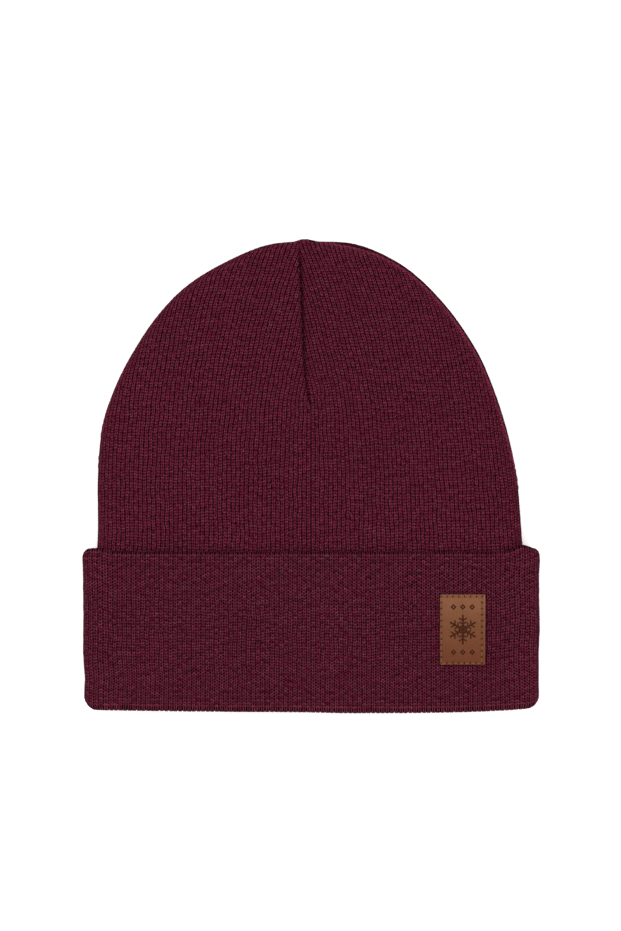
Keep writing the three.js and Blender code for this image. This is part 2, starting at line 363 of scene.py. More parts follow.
def to_frame(points):
    """Metres in the row frame. Nothing lies below the floor."""
    out = np.array(points, float).reshape(-1, 3) * MM
    out[:, 1] -= HEIGHT / 2 * MM
    out[:, 2] = np.maximum(out[:, 2], FLOOR_CLEARANCE * MM)
    return out


def add_object(name, data):
    obj = bpy.data.objects.new(name, data)
    bpy.context.scene.collection.objects.link(obj)
    return obj


def make_mesh(name, points, faces, uvs=None, attributes=None):
    """A smooth mesh from millimetre points and polygons, with per-vertex uvs by layer name and
    per-vertex numbers by attribute name. Points that no polygon uses are left out."""
    totals = np.array([len(face) for face in faces])
    corners = np.concatenate([np.asarray(face) for face in faces])
    used, corners = np.unique(corners, return_inverse=True)
    corners = corners.ravel()
    mesh = bpy.data.meshes.new(name)
    mesh.vertices.add(len(used))
    mesh.vertices.foreach_set("co", to_frame(points)[used].astype(np.float32).ravel())
    mesh.loops.add(len(corners))
    mesh.loops.foreach_set("vertex_index", corners.astype(np.int32))
    mesh.polygons.add(len(totals))
    starts = np.concatenate([[0], np.cumsum(totals)[:-1]])
    mesh.polygons.foreach_set("loop_start", starts.astype(np.int32))
    mesh.polygons.foreach_set("loop_total", totals.astype(np.int32))
    mesh.polygons.foreach_set("use_smooth", np.ones(len(totals), bool))
    for layer, values in (uvs or {}).items():
        uv = mesh.uv_layers.new(name=layer)
        uv.data.foreach_set("uv", values.reshape(-1, 2)[used][corners].astype(np.float32).ravel())
    for attribute, values in (attributes or {}).items():
        data = mesh.attributes.new(attribute, "FLOAT", "POINT")
        data.data.foreach_set("value", values.ravel()[used].astype(np.float32))
    mesh.update()
    mesh.validate()
    return add_object(name, mesh)


def piece(obj, material, slot, *nodes):
    """Puts an object in place of CAD nodes: gives it its material, hides the nodes and hangs it on the root
    body.
    """
    obj.data.materials.append(material)
    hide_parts(*nodes)
    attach(obj, "root")
    return obj


# ---- stitches -----------------------------------------------------------------------------------


def quarter_columns():
    """Wale coordinate of each column of a quarter, from the middle to the fold, and its RIB row."""
    wale = np.repeat(np.arange(WALES), WALE_COLUMNS)
    k = np.tile(np.arange(WALE_COLUMNS), WALES)
    return np.append(wale + RIB["place"][k], WALES), np.append(k, 0)


def knit_layer(wales, courses):
    """The Knit uv layer: wales across and courses up, both kept above zero."""
    return np.stack([wales + 2 * WALES, courses + LAYER_COURSES], -1)


def leg_rise(k):
    """How far, in courses, a stitch's leg has risen at a column of the rib."""
    return LEG_RISE * np.abs(2 * RIB["place"][k] - 1)


def knit_noise(name, wales, courses):
    """Smooth random values from -1 to 1, by an entry of KNIT_NOISE."""
    seed, across, up = KNIT_NOISE[name]
    return noise(seed, wales / across, courses / up)


def wander(name, wales, courses):
    """A slow noise and a quick one on top of it."""
    slow, quick = (knit_noise(name + part, wales, courses) for part in ("_slow", "_quick"))
    return slow + WANDER["quick"] * quick


def course_wander(wales, courses):
    """How far the courses run off level, in courses."""
    phases = np.random.default_rng(PHASE_SEED).uniform(-1, 1, 4 * WALES + 2)
    phase = phases[(wales + 2 * WALES).astype(int)]
    return WANDER["course"] * wander("course", wales, courses) + WANDER["phase"] * phase


def wale_wander(wales, courses):
    """How far the wales run off straight, in wales. The middle and the side folds stay put."""
    free = np.minimum(np.minimum(np.abs(wales), WALES - np.abs(wales)) / 2, 1)
    return WANDER["wale"] * free * wander("wale", wales, courses)


def stitch_depth(k, wales, rows, shift):
    """Depth of the knit's face below the crests of its ribs, for mesh rows counted from a crease.
    The lines where two quarters meet keep an even depth, so that they meet without a gap."""
    crest = (rows % ROWS_A_COURSE)[:, None] != 0
    courses = rows[:, None] / ROWS_A_COURSE
    depth = np.where(crest, RIB["crest"][k], RIB["crease"][k])
    place = wales + shift
    own = noise(STITCH_NOISE["seed"], place * STITCH_NOISE["rate"], courses * STITCH_NOISE["rate"])
    depth = depth * (1 + UNEVEN["stitch"] * own + UNEVEN["patch"] * knit_noise("patch", place, courses))
    depth += UNEVEN["surface"] * knit_noise("surface", place, courses)
    depth[:, [0, -1]] = BORDER_DEPTH
    return depth


# ---- crown --------------------------------------------------------------------------------------

# Rows of the crown that the cuff covers, and how deep their creases are, as a share of the first
# row's that shows.
HIDDEN_ROWS = np.array([4.0, 16.0, 28.0, 42.0, 56.0])
HIDDEN_SINK = np.array([0.4, 0.4, 0.6, 0.8, 1.0])
FIRST_ROW = 70.0  # height from which the rows follow the stitches, a little below the cuff's edge
DEEPEST = 1.8  # the deepest crease, which ends short of the creases in the knit's inner face
PATH_STEPS = 240  # points along the path of a wale
PATH_CROWDING = 1.6  # 1 for even steps along a wale, more for short ones towards its end
CUT_SEARCH = {"from": FIRST_ROW + 20, "steps": 3000}  # where a wale's end is looked for
TOP_STOP = 0.05  # the wales that no dart cuts off end this far below the top, where the faces meet
WANDER_STOP = 6.0  # a wale no longer runs off sideways at its end; this is how fast that fades
# Sewn lines, by kind: side is a side seam on the front, over and under are the left and the right
# edge of the front dart, and back is any seam on the back. The left edge lies over the right one, so
# the knit rises slowly on the right. Each gives how deep a line pulls the knit in and how wide the
# pull is, the ridge beside it, the width of its painted shade and how much that changes at the dart's
# tip and at the top, and how much the ridge smooths its stitches and lightens them with a painted
# highlight.
SEAM_COLUMNS = ("depth", "width", "ridge", "ridge_at", "ridge_width", "shade", "tip_flare", "top_flare",
                "roll")
SEAMS = {
    "side": (0.7, 0.7, 0.35, 1.8, 1.1, 0.7, 0.0, 0.0, 0.6),
    "back": (0.7, 0.8, 0.0, 2.0, 1.0, 1.3, 0.0, 0.0, 0.0),
    "over": (0.9, 0.6, 0.25, 1.6, 1.1, 0.5, 0.5, -0.7, 0.0),
    "under": (1.1, 1.2, 0.1, 4.0, 1.6, 1.2, 0.5, -0.7, 0.0),
}
SEAM_CALM = 1.5  # how near a seam the stitches are pressed flat
SEAM_FADE = 4.0  # the seams' pull fades out over this distance below the top
SEAM_AREA = 10.0  # seams are looked for from this far below the lower side dart's start
SEAM_BLOCK = 4000  # points measured at a time, to save memory
MIDDLE_LINE = 0.05  # a wale that ends nearer to the middle than this ends at the middle seam
HIGHEST_RIDGE = 0.25  # the most that seams push the knit out
SPARE_ROWS = 6  # mesh rows beyond the longest wale's count, of which the unused ones are dropped
# Height and reach of a middle seam's two ends, where its shade is wider or narrower.
TIP_FLARE = (DART["tip"] + 4.0, 5.0)
TOP_FLARE = (CROWN_TOP, 8.0)


def wale_distance(rings, side, face, wale, y):
    """How far round from its middle a wale lies at a height, were it not cut off by a dart."""
    start = SEAM_START[side]
    lower = np.minimum(y, start)
    front = rings.front_at(lower)
    room = front if face > 0 else rings.whole_at(lower) - front
    width = room * (1 - DRAW_IN[side] * np.maximum(y - start, 0))
    share = wale / WALES
    bend = LEAN["rate"] * np.maximum(y - LEAN["from"], 0) ** 2 * (1 - (1 - LEAN["edge"]) * share)
    held = (1 - smooth((y - LEAN_BLEND["tip"]) / LEAN_BLEND["over"])) * np.exp(-wale / LEAN_BLEND["reach"])
    return share * width - bend * (1 - held) - side * dart_centre(y)


def seam_place(rings, side, face, y):
    """How far round from the middle the side seam lies at a height."""
    slope = half_width(side, y + 0.5, 0) - half_width(side, y - 0.5, 0)
    front = rings.front_at(y)
    inset = SEAM_INSET[side] * smooth((y - SEAM_START[side]) / SEAM_SETTLE) * np.sqrt(1 + slope**2)
    inset = np.clip(inset, SEAM_LIMITS[0] * front, SEAM_LIMITS[1] * front)
    return front - inset if face > 0 else rings.whole_at(y) - front + inset


def column_ends(rings, side, face, wales):
    """Height at which a dart cuts each wale off. The middle wale ends with its neighbour, and the
    outermost one where the side dart begins."""
    y = np.linspace(CUT_SEARCH["from"], CROWN_TOP - TOP_STOP, CUT_SEARCH["steps"])
    grid_wale, grid_y = np.meshgrid(wales, y)
    place = wale_distance(rings, side, face, grid_wale, grid_y)
    past_side = (place > seam_place(rings, side, face, y)[:, None]) & (grid_y > SEAM_START[side])
    past_middle = (place < 0) & (grid_y > DART["tip"])
    cut = past_side | past_middle
    ends = y[np.where(cut.any(0), cut.argmax(0), len(y) - 1)]
    ends[0] = ends[1]
    ends[-1] = SEAM_START[side]
    return ends


def distance_to_line(points, line):
    """Least distance of each point to a run of points."""
    out = np.empty(len(points))
    for start in range(0, len(points), SEAM_BLOCK):
        block = points[start:start + SEAM_BLOCK]
        out[start:start + SEAM_BLOCK] = np.sqrt(((block[:, None] - line[None]) ** 2).sum(-1).min(1))
    return out


def nub(points):
    """Lifts the fold of knit that stands up where the darts meet."""
    x, y = points[..., 0], points[..., 1]
    from_left = smooth((x - NUB["left"]) / NUB["left_ramp"])
    to_right = 1 - smooth((x - NUB["right"] + NUB["right_ramp"]) / NUB["right_ramp"])
    share = from_left * to_right * smooth((y - CROWN_TOP + NUB["reach"]) / NUB["reach"])
    out = points.copy()
    out[..., 1] += NUB["rise"] * share
    out[..., 2] += NUB["lift"] * share
    return out


def seam_relief(points, sink, last, around, side, face):
    """Depth of the knit once the seams along a quarter's edges have pulled it in, how much painted
    shade it gets there, and how much its stitches smooth out and take a painted highlight."""
    columns = np.arange(len(last))
    ends = points[last, columns]
    at_middle = around[last, columns] < MIDDLE_LINE
    near = points[..., 1] > SEAM_START[1] - SEAM_AREA
    shade, roll = np.zeros(sink.shape), np.zeros(sink.shape)
    edge = "side" if face > 0 else "back"
    middle = "back" if face < 0 else ("over" if side < 0 else "under")
    for line, kind in ((ends[~at_middle], edge), (ends[at_middle], middle)):
        seam = dict(zip(SEAM_COLUMNS, SEAMS[kind]))
        away = np.full(sink.shape, FAR)
        away[near] = distance_to_line(points[near], line)
        groove = bell(away, seam["width"])
        ridge = bell(away - seam["ridge_at"], seam["ridge_width"])
        free = smooth((CROWN_TOP - points[..., 1]) / SEAM_FADE)
        pull = seam["depth"] * groove - seam["ridge"] * ridge * (1 - groove)
        sink = sink * (1 - bell(away, SEAM_CALM)) + free * pull
        tip, top = (bell(points[..., 1] - at, reach) for at, reach in (TIP_FLARE, TOP_FLARE))
        spread = seam["shade"] * (1 + seam["tip_flare"] * tip + seam["top_flare"] * top)
        shade = np.maximum(shade, bell(away, spread))
        roll = np.maximum(roll, seam["roll"] * ridge * (1 - groove))
    return np.maximum(sink, -HIGHEST_RIDGE), shade, roll


def quarter_panel(rings, side, face):
    """A quarter of the crown: points, wales, courses, painted shade, how much the stitches smooth out
    and take a painted highlight, and the last row of each column."""
    wales, k = quarter_columns()
    ends = column_ends(rings, side, face, wales)
    t = 1 - (1 - np.linspace(0, 1, PATH_STEPS)[:, None]) ** PATH_CROWDING
    y = FIRST_ROW + (ends - FIRST_ROW) * t
    around = wale_distance(rings, side, face, wales, y)
    limit = np.where(y > SEAM_START[side], seam_place(rings, side, face, y), np.inf)
    around = np.clip(around, 0, limit)
    around[:, 0] = 0

    def read(height, distance):
        return height, rings.whole_at(height) - distance if face < 0 else distance

    steps = np.linalg.norm(np.diff(rings.at(*read(y, around)), axis=0), axis=-1)
    run = np.concatenate([np.zeros((1, len(wales))), np.cumsum(steps, 0)])
    rows = np.arange(int(run[-1].max() / COURSE * ROWS_A_COURSE) + SPARE_ROWS)
    courses = rows[:, None] / ROWS_A_COURSE
    goal = courses + leg_rise(k) + course_wander(wales * side, courses)
    goal = np.clip(goal * COURSE, 0, run[-1])
    last = (goal >= run[-1]).argmax(0)
    row_y, row_around = (
        np.stack([np.interp(*column) for column in zip(goal.T, run.T, table.T)], 1) for table in (y, around)
    )
    ease = smooth((run[-1] - goal) / WANDER_STOP)
    sideways = wale_wander(wales, courses + SHIFT["crown_wales"] * (side + face))
    row_around = row_around + rings.front_at(FIRST_ROW) / WALES * ease * sideways
    hidden_y = across_columns(HIDDEN_ROWS, len(wales))
    hem_around = wale_distance(rings, side, face, wales, hidden_y[:1])
    hidden_y[:1] += hem_lift(side, rings.at(*read(hidden_y[:1], hem_around))[..., 0], CUFF_FACE)
    hidden_around = wale_distance(rings, side, face, wales, hidden_y)
    row_y = np.concatenate([hidden_y, row_y])
    row_around = np.maximum(np.concatenate([hidden_around, row_around]), 0)
    place = read(row_y, row_around)
    sink = stitch_depth(k, wales, rows, SHIFT["crown_depth"] * (side + 2 * face))
    sink = np.concatenate([HIDDEN_SINK[:, None] * sink[:1], sink])
    courses = np.concatenate([(HIDDEN_ROWS - FIRST_ROW) / COURSE, rows / ROWS_A_COURSE])
    courses = across_columns(courses, len(wales))
    last = last + len(HIDDEN_ROWS)
    points = rings.at(*place)
    at_top = points[..., 1] > CROWN_TOP - 2 * TOP_STOP
    points[..., 2] = np.where(at_top, LOFT["fold"][-1], points[..., 2])
    sink, shade, roll = seam_relief(points, sink, last, row_around, side, face)
    sink = np.minimum(np.where(at_top, 0, sink), DEEPEST)
    return {
        "points": nub(tucked(points - rings.normals(side, *place) * sink[..., None])),
        "wales": np.tile(wales, (len(courses), 1)),
        "courses": courses,
        "shade": shade,
        "roll": roll,
        "last": last,
    }


def crown_quarter(name, side, face, material):
    """A quarter of the crown, between the middle and a side fold, on the front or the back."""
    panel = quarter_panel(CROWN_RINGS[side], side, face)
    courses = panel["courses"]
    knit = knit_layer(side * face * panel["wales"], courses)
    spread = np.stack([panel["wales"] / WALES, (courses - courses.min()) / np.ptp(courses)], -1)
    faces = trimmed_faces(*courses.shape, panel["last"])
    if side * face < 0:
        faces = [polygon[::-1] for polygon in faces]
    # The seam attribute carries painted shade along the seams; roll carries how far the stitches smooth out
    # and take a painted highlight.
    obj = make_mesh(name, panel["points"], faces, uvs={"Knit": knit, "OFBake": spread},
                    attributes={"seam": panel["shade"], "roll": panel["roll"]})
    return piece(obj, material, "crown_knit", "crown")


CROWN_RINGS = {side: HalfRings(side, crown_heights()) for side in (-1, 1)}


# ---- inside of the crown ------------------------------------------------------------------------

INSIDE_RIB = {"place": np.array([0.0, 0.25, 0.5, 0.75]), "depth": np.array([0.3, 0.08, 0.0, 0.08])}
INSIDE_ROWS = 34
INSIDE_CROWDING = 1.5  # 1 for even rows, more for low ones towards the top
INSIDE_HEM = 3.6  # height of its lowest row, which lifts with the bottom fold
INSIDE_LIFT_OVER = 12.0  # that lift fades out over this height
INSIDE_TUCK = 0.8  # how far its lowest row lies behind the cuff's end


def crown_inside(material):
    """The knit's inner face, from the bottom fold to the top, as a ribbed pocket."""
    heights = crown_heights(KNIT)
    wale = np.repeat(np.arange(WALES), len(INSIDE_RIB["place"]))
    k = np.tile(np.arange(len(INSIDE_RIB["place"])), WALES)
    share = (wale + INSIDE_RIB["place"][k]) / WALES
    depth = INSIDE_RIB["depth"][k]
    rise = 1 - (1 - np.linspace(0, 1, INSIDE_ROWS)) ** INSIDE_CROWDING
    y = INSIDE_HEM + (heights[-1] - INSIDE_HEM) * rise
    quarters = []
    for side, face in ((1, 1), (1, -1), (-1, -1), (-1, 1)):
        rings = HalfRings(side, heights, inset=KNIT)
        front, whole = rings.front_at(y)[:, None], rings.whole_at(y)[:, None]
        around = front * share if face > 0 else whole - (whole - front) * share
        deep = depth
        if (side > 0) != (face > 0):
            around = np.concatenate([around[:, 1:], front], 1)[:, ::-1]
            deep = np.append(depth[1:], depth[0])[::-1]
        quarter = rings.at(across_columns(y, around.shape[1]), around)
        fade = 1 - smooth((y - INSIDE_HEM) / INSIDE_LIFT_OVER)
        quarter[..., 1] += hem_lift(side, quarter[..., 0], CUFF_FACE + KNIT) * fade[:, None]
        quarters.append((quarter, deep))
    points = tucked(np.concatenate([quarter[0] for quarter in quarters], 1))
    deep = np.concatenate([quarter[1] for quarter in quarters])
    tuck = np.where(np.arange(INSIDE_ROWS) == 0, INSIDE_TUCK, 0)[:, None]
    points = points + grid_normals(points, wrap=True) * (deep + tuck)[..., None]
    rows, columns = points.shape[:2]
    faces = grid_faces(rows, columns, wrap=True)[:, ::-1]
    across, up = np.meshgrid(np.arange(columns), np.arange(rows))
    knit = np.stack([across / len(INSIDE_RIB["place"]), across_columns(y / COURSE, columns)], -1)
    spread = np.stack([across / (columns - 1), up / (rows - 1)], -1)
    obj = make_mesh("crown_inside", points, faces, uvs={"Knit": knit, "OFBake": spread})
    return piece(obj, material, "crown_knit", "crown")


# ---- cuff ---------------------------------------------------------------------------------------

CUFF_GATHER = 0.02  # share by which the cuff's wales draw together towards its upper edge
FOLD_RADIUS = KNIT + GAP / 2  # outer radius of the bottom fold
FOLD_STEPS = 10  # facets round the bottom fold
LIP_STEPS = 6  # facets over the upper edge
LEG_ROWS = (8.0, 5.5, 3.6)  # heights of the rows that run down inside the hem to the bottom fold
HIDDEN_DROPS = (6.0, 16.0, 30.0)  # how far below the upper edge the rows behind the cuff lie
CUFF_PROBE = 0.05  # how far to either side the cuff's directions are worked out from
FOLD_CALM = {"bottom": 0.4, "top": 0.2}  # share of the stitches' depth that stays where the knit folds
# How far the bottom fold lifts towards the sides, how much the left half lies higher, and how the
# corners round off.
BOTTOM_BOW = {-1: {"rise": 1.0, "power": 1.6}, 1: {"rise": 2.5, "power": 4.2}}
BOTTOM_TILT = {"rise": 0.45, "from": 20.0, "over": 28.0}
BOTTOM_ROUND = {-1: {"width": 5.0, "rise": 4.6}, 1: {"width": 4.4, "rise": 3.6}}
# How far the stitches smooth out and take a painted highlight along the upper edge and the bottom fold, and
# the upper edge's painted shade.
EDGE_SMOOTH_AND_HIGHLIGHT = {"upper": 0.12, "lower": 0.17, "courses": 1.0}
EDGE_SHADE = {"depth": 0.4, "courses": 0.5}
# The upper edge lifts where the crown's sides push it, slopes from there and ends in a round corner.
UPPER_EDGE = {
    -1: {"peak_at": 100.5, "peak": 1.6, "spread": 5.0, "slope": 0.2, "round": 2.4, "round_rise": 3.2},
    1: {"peak_at": 99.5, "peak": 3.1, "spread": 5.5, "slope": 0.6, "round": 1.4, "round_rise": 2.4},
}


def corner_drop(x, width, rise):
    """How far a round corner has left its edge, in from the end of the cuff's width."""
    t = np.clip((np.abs(x) - (CUFF_HALF_WIDTH - width)) / width, 0, 1)
    return rise * (1 - np.sqrt(1 - t * t))


def bottom_edge(side, x):
    """How high the bottom fold stands at a place across the hat."""
    bow = BOTTOM_BOW[side]
    lift = bow["rise"] * (np.abs(x) / CUFF_HALF_WIDTH) ** bow["power"]
    tilt = BOTTOM_TILT["rise"] * smooth((BOTTOM_TILT["from"] - x) / BOTTOM_TILT["over"])
    corner = BOTTOM_ROUND[side]
    return lift + tilt + corner_drop(x, corner["width"], corner["rise"])


def hem_lift(side, x, inset):
    """How far the bottom fold has risen beside a point that lies inset from the cuff's face."""
    return bottom_edge(side, x * CUFF_HALF_WIDTH / (CUFF_HALF_WIDTH - inset))


def upper_edge(side, x):
    """How high the cuff's upper edge stands at a place across the hat."""
    sizes = UPPER_EDGE[side]
    past = np.abs(x) - sizes["peak_at"]
    inner = bell(np.minimum(past, 0), sizes["spread"])
    outer = 1 - sizes["slope"] * smooth(past / (CUFF_HALF_WIDTH - sizes["peak_at"]))
    return CUFF_HEIGHT + sizes["peak"] * inner * outer - corner_drop(x, sizes["round"], sizes["round_rise"])


def cuff_rows():
    """Rows of the cuff's section from inside the hem, round the fold and over the upper edge: how far
    out, rise from the bottom edge, share of the face's height, drop from the upper edge, and the
    stitch row on the face."""
    face = CUFF_HEIGHT - KNIT - FOLD_RADIUS
    count = int(face / COURSE) * ROWS_A_COURSE
    rows = [(-KNIT, rise, 0.0, 0.0, 0) for rise in LEG_ROWS]
    for angle in np.linspace(math.pi, 0, FOLD_STEPS + 1):
        out = GAP / 2 + FOLD_RADIUS * math.cos(angle)
        rows.append((out, FOLD_RADIUS * (1 - math.sin(angle)), 0.0, 0.0, 0))
    for row in range(1, count):
        rows.append((CUFF_FACE, FOLD_RADIUS, row / count, 0.0, row))
    half = KNIT / 2
    for angle in np.linspace(0, math.pi, LIP_STEPS + 1):
        rows.append((GAP + half + half * math.cos(angle), 0.0, 1.0, half * (1 - math.sin(angle)), count))
    rows += [(GAP, 0.0, 1.0, drop, count) for drop in HIDDEN_DROPS]
    return np.array(rows)


def cuff_quarter(side, face):
    """Points and depths of a quarter of the cuff, from the middle to a side fold."""
    rings = CUFF_RINGS[side]
    wales, k = quarter_columns()
    out, rise, share, drop, stitch = (column[:, None] for column in cuff_rows().T)
    front, whole = rings.front_length[0], rings.length[0]
    free = np.sin(math.pi * share)
    courses = stitch / ROWS_A_COURSE
    lateral = wale_wander(wales, courses + SHIFT["cuff_wales"] * (side + face)) * free
    place = (wales + lateral) / WALES
    gather = 1 - CUFF_GATHER * share**2 * (1 - place)
    around = place * gather * front
    if face < 0:
        around = whole - place * gather * (whole - front)
    around = np.clip(around, 0, whole)
    zero = np.zeros_like(around)
    base = rings.at(zero, around)
    ahead, behind = np.minimum(around + CUFF_PROBE, whole), np.maximum(around - CUFF_PROBE, 0)
    along = rings.at(zero, ahead) - rings.at(zero, behind)
    outwards = unit(np.stack([-along[..., 2], zero, along[..., 0]], -1) * side)
    edge = base[..., 0] + outwards[..., 0] * CUFF_FACE
    low, high = bottom_edge(side, edge), upper_edge(side, edge)
    face_low, face_high = low + FOLD_RADIUS, high - KNIT / 2
    off_level = course_wander(wales * side, courses + SHIFT["cuff_courses"]) - leg_rise(k)
    on_face = face_low + (face_high - face_low) * share + off_level * COURSE * free
    points = base + outwards * out[..., None]
    points[..., 1] = np.where(share <= 0, low + rise, np.where(share < 1, on_face, high - drop))
    rows = stitch.ravel().astype(int)
    sink = stitch_depth(k, wales, rows, SHIFT["cuff_depth"] * (side + 2 * face))
    sink = sink * np.where(share <= 0, FOLD_CALM["bottom"], np.where(share < 1, 1, FOLD_CALM["top"]))
    return points, sink


def cuff_half(name, face, material):
    """The front or the back of the cuff, a strip from side fold to side fold."""
    order = (-1, 1) if face > 0 else (1, -1)
    first, second = (cuff_quarter(side, face) for side in order)
    points, sink = (np.concatenate([a[:, ::-1], b[:, 1:]], 1) for a, b in zip(first, second))
    points = tucked(points)
    points = points - grid_normals(points) * sink[..., None]
    rows, columns = sink.shape
    wales = quarter_columns()[0]
    wales = np.tile(np.append(-wales[::-1], wales[1:]), (rows, 1))
    courses = across_columns(cuff_rows()[:, 4] / ROWS_A_COURSE, columns)
    up = across_columns(np.linspace(0, 1, rows), columns)
    below = courses.max() - courses
    # Painted highlight, with smoother stitches, along the upper edge and the bottom fold.
    roll = EDGE_SMOOTH_AND_HIGHLIGHT["upper"] * bell(below, EDGE_SMOOTH_AND_HIGHLIGHT["courses"])
    roll += EDGE_SMOOTH_AND_HIGHLIGHT["lower"] * bell(courses, EDGE_SMOOTH_AND_HIGHLIGHT["courses"])
    # Painted shade along the upper edge, carried by the seam attribute.
    shade = EDGE_SHADE["depth"] * bell(below, EDGE_SHADE["courses"])
    knit = knit_layer(wales, courses)
    spread = np.stack([(wales + WALES) / (2 * WALES), up], -1)
    obj = make_mesh(name, points, grid_faces(rows, columns), uvs={"Knit": knit, "OFBake": spread},
                    attributes={"seam": shade, "roll": roll})
    return piece(obj, material, "cuff_knit", "cuff")


# The cuff's section is the same all the way up, so two rings will do.
CUFF_RINGS = {side: HalfRings(side, np.array([0.0, 1.0]), cuff=True) for side in (-1, 1)}


# ---- knit material ------------------------------------------------------------------------------


class Nodes:
    """Short names for the shader nodes that the materials here need."""

    def __init__(self, name):
        self.material = bpy.data.materials.new(name)
        self.material.use_nodes = True
        self.tree = self.material.node_tree
        self.shader = self.tree.nodes["Principled BSDF"]

    def new(self, kind, **inputs):
        node = self.tree.nodes.new(kind)
        for key, value in inputs.items():
            self.set(node.inputs[key.replace("_", " ")], value)
        return node

    def set(self, socket, value):
        if isinstance(value, bpy.types.NodeSocket):
            self.tree.links.new(value, socket)
        else:
            socket.default_value = value

    def surface(self, **inputs):
        for key, value in inputs.items():
            self.set(self.shader.inputs[key.replace("_", " ")], value)

    def math(self, operation, *values, clamp=False):
        node = self.tree.nodes.new("ShaderNodeMath")
        node.operation = operation
        node.use_clamp = clamp
        for socket, value in zip(node.inputs, values):
            self.set(socket, value)
        return node.outputs[0]

    def times(self, a, b, clamp=False):
        return self.math("MULTIPLY", a, b, clamp=clamp)

    def scaled(self, value, factor, added):
        return self.math("MULTIPLY_ADD", value, factor, added)

    def most(self, a, b):
        return self.math("MAXIMUM", a, b)

    def wave(self, courses):
        """0 at the creases between the courses, 1 at the crests half-way."""
        return self.scaled(self.math("COSINE", self.times(courses, 2 * math.pi)), -0.5, 0.5)

    def ramp(self, value, low, high, to_low=0.0, to_high=1.0):
        node = self.tree.nodes.new("ShaderNodeMapRange")
        node.interpolation_type = "SMOOTHSTEP"
        for key, entry in zip(("Value", "From Min", "From Max", "To Min", "To Max"),
                              (value, low, high, to_low, to_high)):
            self.set(node.inputs[key], entry)
        return node.outputs[0]

    def over_noise(self, value, low, high):
        """Spreads the middle values of a noise over a range."""
        return self.ramp(value, *NOISE_MIDDLE, low, high)

    def mix(self, share, a, b, blend="MIX"):
        node = self.tree.nodes.new("ShaderNodeMix")
        node.data_type = "RGBA"
        node.blend_type = blend
        self.set(node.inputs[0], share)
        self.set(node.inputs[6], a)
        self.set(node.inputs[7], b)
        return node.outputs[2]

    def shaded(self, tone, red, green, blue):
        """A colour whose red, green and blue are each multiplied."""
        factors = self.new("ShaderNodeCombineColor", Red=red, Green=green, Blue=blue)
        return self.mix(1.0, tone, factors.outputs[0], "MULTIPLY")

    def uv(self, layer):
        node = self.tree.nodes.new("ShaderNodeUVMap")
        node.uv_map = layer
        split = self.new("ShaderNodeSeparateXYZ", Vector=node.outputs[0])
        return split.outputs[0], split.outputs[1]

    def noise(self, vector, name):
        scale, detail, roughness = TEXTURE[name]
        node = self.new("ShaderNodeTexNoise", Vector=vector, Scale=scale, Detail=detail,
                        Roughness=roughness)
        return node.outputs[0]

    def cell_noise(self, across, up):
        """One random value from 0 to 1 for each stitch; it evens out from one stitch to the next
        above, so that no patch of many stitches is lighter or darker."""
        values = []
        for step in (0.0, 1.0):
            cell = self.new("ShaderNodeCombineXYZ", X=across, Y=self.math("ADD", up, step))
            node = self.tree.nodes.new("ShaderNodeTexWhiteNoise")
            node.noise_dimensions = "2D"
            self.tree.links.new(cell.outputs[0], node.inputs["Vector"])
            values.append(node.outputs["Value"])
        return self.scaled(self.math("SUBTRACT", *values), 0.5, 0.5)

    def attribute(self, name):
        node = self.tree.nodes.new("ShaderNodeAttribute")
        node.attribute_name = name
        return node.outputs["Fac"]

    def place(self):
        return self.tree.nodes.new("ShaderNodeTexCoord").outputs["Object"]

    def bump(self, height, distance):
        return self.new("ShaderNodeBump", Height=height, Distance=distance).outputs[0]


def srgb(r, g, b):
    """A colour given in steps of 255, as a screen has them."""
    def linear(c):
        c /= 255
        return c / 12.92 if c <= 0.04045 else ((c + 0.055) / 1.055) ** 2.4
    return (linear(r), linear(g), linear(b), 1.0)


# Noises of the materials: cells a metre, detail and roughness. "run" is read in cells of its own.
TEXTURE = {
    "run": (1.0, 1.0, 0.5),
    "cloud": (45.0, 3.0, 0.55),
    "fleck": (1100.0, 1.0, 0.5),
    "fibre": (1900.0, 3.0, 0.65),
    "hide": (160.0, 4.0, 0.6),
    "grain": (1500.0, 3.0, 0.6),
    "ply": (3000.0, 3.0, 0.6),
}
NOISE_MIDDLE = (0.3, 0.7)  # where most values of a noise lie
# Where features of the knit set in and end: across a wale from its middle (0) to its sides (1), up a
# course from a crease (0) to a crest (1).
BAND = {"centre": (0.12, 0.42), "valley": (0.45, 0.75), "crease": (0.1, 0.75), "lower": (0.0, 0.5)}
CREASE_SPAN = 0.2  # over how much of a course single creases shift up or down
RUN_CELLS = {"across": 5.3, "up": 0.8}  # the "run" noise: cells from valley to valley, and a course
YARN_STEEPNESS = 3.0  # how fast the light on a leg falls off to either side of its yarn
# Strengths of the painted shade and the painted light. A pair is a factor and what is added to it.
PAINTED_HOLES = {"stitch": (1.2, 0.5), "run": (0.6, 0.75), "line": 2.0}  # painted shade in the holes; the line is the painted shade along a valley
LIGHT = {"yarn": (0.25, 0.55), "crest": 0.5, "stitch": (1.0, 0.5), "roll": 0.5}
PAINTED_SHADE = {"crease": 0.08, "seam": 0.7}
# How much the yarn's noises multiply its colour, least and most. Flecks change its green and blue.
YARN_TONE = {"cloud": (0.97, 1.03), "fibre": (0.45, 1.55), "green": (0.5, 1.6), "blue": (0.8, 1.2)}
YARN_ROUGH = (0.2, 0.8, 0.86, 0.98)  # from and to values of the fibres' noise, least and most roughness
YARN_BUMP = {"fibre": 0.5, "distance": 0.00025}
SHEEN = {"Sheen_Weight": 0.01, "Sheen_Roughness": 0.6, "Sheen_Tint": srgb(190, 60, 90)}
SHADE_BLACK = srgb(0, 0, 0)
RIM_WIDTH = 3.2  # how far up and down from a side fold the shade reaches
